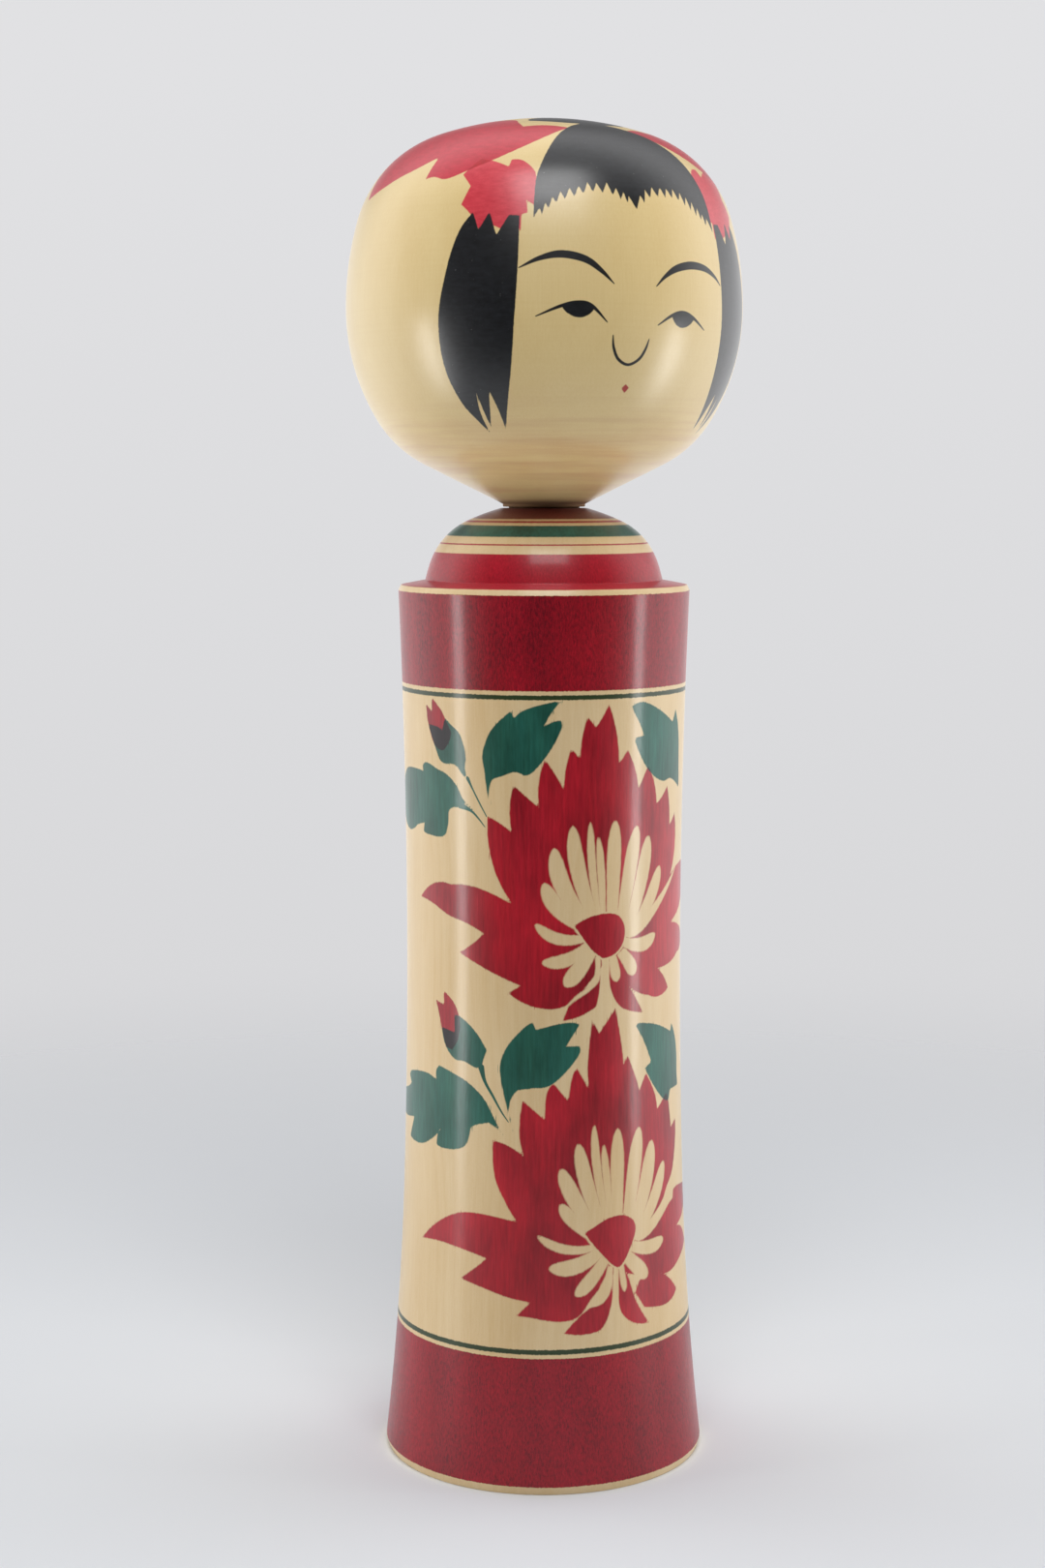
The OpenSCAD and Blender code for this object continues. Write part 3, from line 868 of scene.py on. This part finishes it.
# Millimetres of bare wood round the heart of a flower
COLLAR = 0.5
# Heights between which streaks and painted shade come in under the chin, and the rubbed neck with its painted
# shade begins
CHIN_TOP, CHIN_LOW = 246, 228
RUBBED_SHADE_TOP, RUBBED_SHADE_LOW = 219.6, 218.6

# Weight and roughness of the wax on each piece, and the roughness of the rubbed neck
BODY_COAT, BODY_COAT_ROUGHNESS = 0.34, 0.17
HEAD_COAT, HEAD_COAT_ROUGHNESS = 0.8, 0.28
RUBBED_ROUGHNESS = 0.85
# Roughness of the wood between its fibres and on them, and the noise at which each starts
BODY_ROUGHNESS, HEAD_ROUGHNESS = (0.36, 0.48), (0.36, 0.46)
FIBRE_RANGE = (0.3, 0.7)
# Depth of the relief in metres, and its strength on each piece
RELIEF_DEPTH = 0.0001
BODY_RELIEF, HEAD_RELIEF = 0.25, 0.1
WAX_IOR = 1.36
SHEEN, SHEEN_ROUGHNESS = 0.06, 0.45


def wood(n, place, pith, ring_share, tones):
    """The colour of fine-grained pale wood, and its fibres."""
    from_pith = n.length(n.scaled(place, (1, 1, 0), (-pith[0], -pith[1], 0)))
    ring = n.math("MULTIPLY_ADD", n.pattern(place, *DRIFT), RING_DRIFT, from_pith)
    fibres = n.pattern(place, *FIBRES)
    parts = [(n.noise(ring, scale=0.55, detail=3, shape="1D"), ring_share), (fibres, FIBRE_SHARE),
             (n.pattern(place, *CLOUDS), CLOUD_SHARE),
             (n.noise(place, scale=2.6, rough=0.6), SPOT_SHARE)]
    middle = sum(share for _, share in parts) / 2
    depth = n.spread(n.weighed(*parts), middle - WOOD_SPREAD, middle + WOOD_SPREAD)
    return n.mix(depth, *tones), fibres


def highest(n, *values):
    """The greatest of several values."""
    result = values[0]
    for value in values[1:]:
        result = n.math("MAXIMUM", result, value)
    return result


def paint(n, name, wander, soft=EDGE_BLUR):
    """1 where the field has paint. The edge strays by wander and blurs over twice soft."""
    return n.step(n.math("ADD", n.field(name), wander), -soft, soft)


def ring_mask(n, height, rings, soft=RING_BLUR):
    """1 within any of the rings."""
    return highest(n, *[n.times(n.step(height, low - soft, low + soft),
                                n.step(height, high + soft, high - soft)) for low, high in rings])


def line_mask(n, name="line", soft=LINE_BLUR):
    """1 on the thin drawn lines."""
    apart = n.math("ABSOLUTE", n.field(name + "_offset"))
    return n.step(n.math("SUBTRACT", n.field(name + "_half"), apart), -soft, soft)


def dyed(n, colour, dyes):
    """The colour under layers of dye, each with its mask."""
    for mask, dye in dyes:
        colour = n.mix(1.0, colour, n.mix(mask, WHITE, dye), "MULTIPLY")
    return colour


def finish_wood(n, colour, roughness, coat, coat_roughness, relief, strength):
    """Waxed wood: a soft gloss broken by the fibres."""
    inputs = {"Height": relief, "Strength": strength, "Distance": RELIEF_DEPTH}
    bump = n.new("ShaderNodeBump", inputs)
    n.fill(n.shader, {
        "Base Color": colour, "Roughness": roughness, "IOR": WAX_IOR,
        "Sheen Weight": SHEEN, "Sheen Roughness": SHEEN_ROUGHNESS,
        "Coat Weight": coat, "Coat Roughness": coat_roughness, "Normal": bump.outputs["Normal"]})


def body_material():
    """Waxed wood with dyed rings and the painted flowers."""
    n = Nodes(bpy.data.materials.new("body_wood"))
    place, height = n.place()
    bare, fibres = wood(n, place, BODY_PITH, BODY_RINGS, BODY_WOOD)

    # Edges shiver a little, and here and there dye has crept along a fibre
    shiver = n.stray(n.pattern(place, *SHIVER), EDGE_STRAY)
    run = n.math("SUBTRACT", n.pattern(place, *CREEP), CREEP_START, clamp=True)
    run = n.times(run, CREEP_REACH)
    wander = n.math("ADD", shiver, run)
    band_height = n.math("ADD", height, n.stray(n.noise(place, scale=1.9), EDGE_STRAY))
    fine_height = n.math("ADD", height, n.stray(n.noise(place, scale=1.6), FINE_STRAY))

    # Masks
    collar = n.math("ADD", n.field("heart"), COLLAR)
    bare_petals = highest(n, collar, n.field("bare_even"), n.field("bare_odd"))
    covered = n.step(n.math("ADD", bare_petals, shiver), BARE_BLUR, -BARE_BLUR)
    petals = n.times(paint(n, "flower", wander, PETAL_BLUR), covered)
    red = highest(n, petals, paint(n, "heart", wander), paint(n, "bud", wander))
    green = highest(n, paint(n, "leaf", wander), line_mask(n), line_mask(n, "tail"))

    def rings(level, bounds):
        return n.times(ring_mask(n, level, bounds), n.field("skin"))

    # Dyes, streaked along the grain and flecked where the wood drinks more
    patches = n.pattern(place, *PATCHES)
    flecks = n.pattern(place, *FLECKS)
    load = n.spread(n.weighed((n.pattern(place, *STREAKS), 0.55), (patches, 0.75)), *DYE_RANGE)
    band_load = n.spread(n.weighed((flecks, 0.9), (patches, 0.3)), *BAND_RANGE)
    green_dye = n.mix(load, *GREEN)
    colour = dyed(n, bare, [
        (red, n.mix(load, *RED)),
        (rings(band_height, RED_RINGS[:2]), n.mix(band_load, *BAND_RED)),
        (rings(fine_height, RED_RINGS[2:]), n.mix(band_load, *DOME_RED)),
        # painted shade: the red ring in under the head, darkened
        (rings(fine_height, SHADED_TOP_RINGS), TOP_RED_SHADE),
        (green, green_dye),
        (rings(fine_height, GREEN_RINGS[2:]), green_dye),
        (rings(band_height, GREEN_RINGS[:2]), LINE_GREEN)])

    roughness = n.spread(fibres, *FIBRE_RANGE, *BODY_ROUGHNESS)
    relief = n.weighed((fibres, 0.7), (flecks, 0.3))
    finish_wood(n, colour, roughness, BODY_COAT, BODY_COAT_ROUGHNESS, relief, BODY_RELIEF)
    return n.owner


def head_material():
    """Waxed wood with ink hair and face and red ribbons."""
    n = Nodes(bpy.data.materials.new("head_wood"))
    place, height = n.place()
    bare, fibres = wood(n, place, HEAD_PITH, HEAD_RINGS, HEAD_WOOD)
    turning = n.noise(height, scale=1.4, detail=4, shape="1D")
    bare = n.mix(n.spread(turning, *TURNING_RANGE, 0, TURNING_SHARE), bare, HEAD_WOOD[1])
    # Painted shade and painted reflected red under the chin, in horizontal streaks growing toward the neck
    chin_streaks_and_shade = n.spread(n.pattern(place, *CHIN_STREAKS), *STREAK_RANGE, 0, STREAK_AND_SHADE_SHARE)
    bare = n.mix(n.times(chin_streaks_and_shade, n.step(height, CHIN_TOP, CHIN_LOW)), bare, HEAD_STREAK_AND_SHADE)
    # Painted shade and rubbed stain at the foot of the neck, where it meets the shoulder
    rubbed_and_shaded = n.step(height, RUBBED_SHADE_TOP, RUBBED_SHADE_LOW)
    bare = n.mix(n.times(rubbed_and_shaded, STAIN_AND_SHADE_SHARE), bare, NECK_STAIN_AND_SHADE)

    wander = n.stray(n.noise(place, scale=1.3, detail=3, rough=0.6), HEAD_STRAY)
    ink = highest(n, paint(n, "ink", wander, INK_BLUR), line_mask(n))
    load = n.spread(n.pattern(place, *BRUSHING), *BRUSH_RANGE)
    specks = n.step(n.noise(place, scale=1.7, detail=1), *SPECK_RANGE)
    ink_tone = n.mix(n.times(specks, SPECK_SHARE), n.mix(load, *INK), SPECK_GREY)
    colour = dyed(n, bare, [
        (paint(n, "ribbon", wander), n.mix(load, *LONG_RED)),
        (paint(n, "ragged", wander), n.mix(load, *RAGGED_RED)),
        (paint(n, "mouth", wander), MOUTH_RED)])
    colour = n.mix(ink, colour, ink_tone)

    roughness = n.spread(fibres, *FIBRE_RANGE, *HEAD_ROUGHNESS)
    roughness = highest(n, roughness, n.times(rubbed_and_shaded, RUBBED_ROUGHNESS))
    coat = n.math("MULTIPLY_ADD", rubbed_and_shaded, -HEAD_COAT, HEAD_COAT)
    relief = n.weighed((fibres, 0.35), (turning, 0.2))
    finish_wood(n, colour, roughness, coat, HEAD_COAT_ROUGHNESS, relief, HEAD_RELIEF)
    return n.owner


# ---- floor and studio

CAMERA_AZIMUTH = -26
CAMERA_DISTANCE = 592
CAMERA_HEIGHT = 224
CAMERA_PITCH = 6.68
CAMERA_PAN = 0.47
CAMERA_LENS = 59.8

# Lamps at the two sides: azimuth, distance, height of the middle, width, length, watts
STRIPS = [(-96, 640, -20, 100, 440, 1.8), (54, 640, -40, 100, 440, 1.75)]
# Lamp over the camera: azimuth, distance, height, size, watts, and the height that it faces
KEY = (-20, 340, 690, 340, 2.3, 300)

# What the camera sees behind the doll, from the sine below level to that above it
BACKDROP = rgb(212, 212, 214), rgb(225, 225, 227)
BACKDROP_RISE = (-0.35, 0.15)
# The tent's light, and the cosines from the camera's way at which its dark opening starts and is full
TENT_LIGHT = (1.7, 1.7, 1.72, 1)
OPENING = (-0.35, 0.42)
# Cosines between which the wall behind starts, its share of light low down and higher up,
# and the sines above level between which the one gives way to the other
BACK = (-0.35, -0.85)
BACK_SHARE = 0.62
BACK_TOP_SHARE = 0.1
BACK_RISE = (0.08, 0.42)
# The roof's share of light, and the sines above level between which it starts
ROOF_SHARE = 0.75
ROOF_RISE = (0.25, 0.85)

FLOOR_TONE = rgb(231, 234, 238)
FLOOR_R = 640
FLOOR_ROWS, FLOOR_COLUMNS = 24, 96
# Radii between which the floor fades out
FLOOR_FADE = (160, 620.8)


def from_axis(azimuth, distance, height):
    """A place round the doll, in metres. Azimuth 0 is straight in front of it."""
    angle = radians(azimuth)
    return (distance * MM * sin(angle), -distance * MM * cos(angle), height * MM)


def aimed(data, azimuth, distance, height, tilt, turn):
    """A new object round the doll. It looks down at tilt 0 and level at tilt 90, in degrees."""
    obj = bpy.data.objects.new(data.name, data)
    obj.location = from_axis(azimuth, distance, height)
    obj.rotation_euler = (radians(tilt), 0, radians(turn))
    SCENE.collection.objects.link(obj)
    return obj


def make_camera():
    data = bpy.data.cameras.new("camera")
    data.lens = CAMERA_LENS
    data.clip_start = 0.01
    camera = aimed(data, CAMERA_AZIMUTH, CAMERA_DISTANCE, CAMERA_HEIGHT,
                   90 - CAMERA_PITCH, CAMERA_AZIMUTH + CAMERA_PAN)
    bpy.context.scene.camera = camera


def make_lamp(name, azimuth, distance, height, width, length, watts, tilt=90):
    data = bpy.data.lights.new(name, "AREA")
    data.shape = "RECTANGLE"
    data.size = width * MM
    data.size_y = length * MM
    data.energy = watts
    aimed(data, azimuth, distance, height, tilt, azimuth).visible_camera = False


def make_lamps():
    for i, strip in enumerate(STRIPS):
        make_lamp(f"strip_{i}", *strip)
    azimuth, distance, height, size, watts, target = KEY
    tilt = degrees(atan2(distance, height - target))
    make_lamp("key", azimuth, distance, height, size, size, watts, tilt)


def make_world():
    """A white tent round the doll, open towards the camera and dimmer behind and overhead."""
    n = Nodes(bpy.data.worlds.new("studio"))
    SCENE.world = n.owner
    way = n.new("ShaderNodeTexCoord").outputs["Generated"]
    rise = n.height(way)
    front = n.vector_math("DOT_PRODUCT", way, from_axis(CAMERA_AZIMUTH, 1 / MM, 0))["Value"]

    walls = n.step(front, *OPENING[::-1])
    loss = n.math("MULTIPLY_ADD", n.step(rise, *BACK_RISE), BACK_SHARE - BACK_TOP_SHARE, 1 - BACK_SHARE)
    left = n.math("SUBTRACT", 1.0, n.times(n.step(front, *BACK), loss))
    roof = n.math("MULTIPLY_ADD", n.step(rise, *ROOF_RISE), ROOF_SHARE - 1, 1.0)
    share = n.times(n.times(walls, left), roof)
    lit = n.mix(share, BLACK, TENT_LIGHT)
    seen = n.mix(n.spread(rise, *BACKDROP_RISE), *BACKDROP)
    camera_ray = n.new("ShaderNodeLightPath").outputs["Is Camera Ray"]
    n.fill(n.tree.nodes["Background"], {"Color": n.mix(camera_ray, lit, seen)})


def make_floor():
    """A pale round table top that fades into the backdrop."""
    outline = [(radius, 0) for radius in np.linspace(FLOOR_R, 0, FLOOR_ROWS)]
    angles = np.linspace(0, tau, FLOOR_COLUMNS, endpoint=False)
    floor = build_mesh("floor", *revolve(outline, angles, [1] * len(outline)), {})
    n = Nodes(bpy.data.materials.new("floor"))
    n.fill(n.shader, {"Base Color": FLOOR_TONE, "Roughness": 0.9, "Specular IOR Level": 0.0})
    place, _ = n.place()
    clear = n.new("ShaderNodeBsdfTransparent")
    fade = n.step(n.length(place), *FLOOR_FADE)
    mixer = n.new("ShaderNodeMixShader", {0: fade, 1: n.shader.outputs[0], 2: clear.outputs[0]})
    n.fill(n.tree.nodes["Material Output"], {"Surface": mixer.outputs[0]})
    floor.data.materials.append(n.owner)


SCENE.view_settings.view_transform = "Standard"
make_camera()
make_lamps()
make_world()
make_floor()

body = make_body()
body.data.materials.append(body_material())
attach(body, "body")
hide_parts("body")

head = make_head()
head.data.materials.append(head_material())
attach(head, "head")
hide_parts("head")
